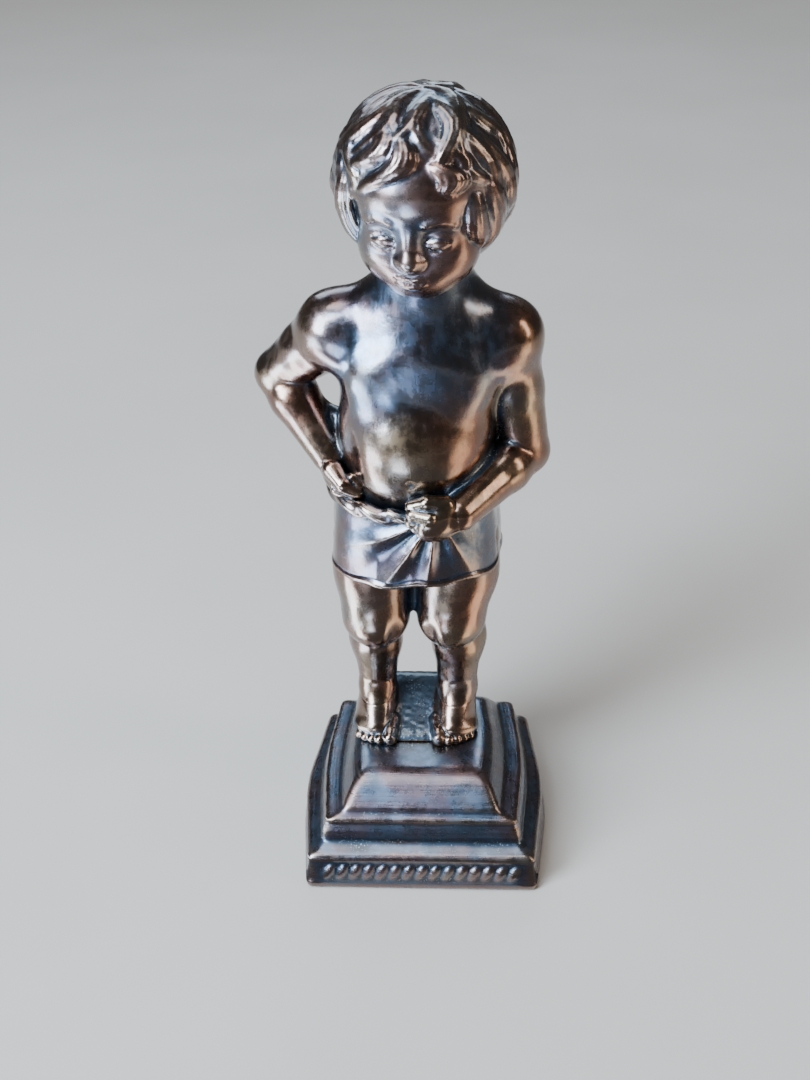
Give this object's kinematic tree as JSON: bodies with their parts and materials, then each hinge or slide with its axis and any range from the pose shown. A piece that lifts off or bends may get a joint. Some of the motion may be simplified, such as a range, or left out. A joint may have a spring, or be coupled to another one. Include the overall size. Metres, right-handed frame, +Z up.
{
  "type": "souvenir figurine",
  "caption": "Small copper-plated cast figure of a standing child in a short wrap, hand on hip, on a stepped plinth with a felt base.",
  "frame": {"origin": "centre of the felt pad's underside, on the surface that the figurine stands on", "axes": "+Z up along the figure; the figure faces -Y; its right hand is at -X and its left hand at +X"},
  "size_m": [0.0346, 0.0287, 0.0945],
  "materials": {
    "copper_plate": "buffed copper plating with dark patina in the recesses",
    "zinc_steel": "bright zinc",
    "ballast_iron": "raw casting",
    "plate_steel": "plain rolled sheet",
    "felt": "dark green felt"
  },
  "bodies": {
    "root": {"figure_casting": "copper_plate", "plinth_casting": "copper_plate", "foot_screw_right": "zinc_steel", "foot_screw_left": "zinc_steel", "foot_washer_right": "zinc_steel", "foot_washer_left": "zinc_steel", "base_screw": "zinc_steel", "ballast_block": "ballast_iron", "base_plate": "plate_steel", "felt_pad": "felt"}
  },
  "joints": []
}
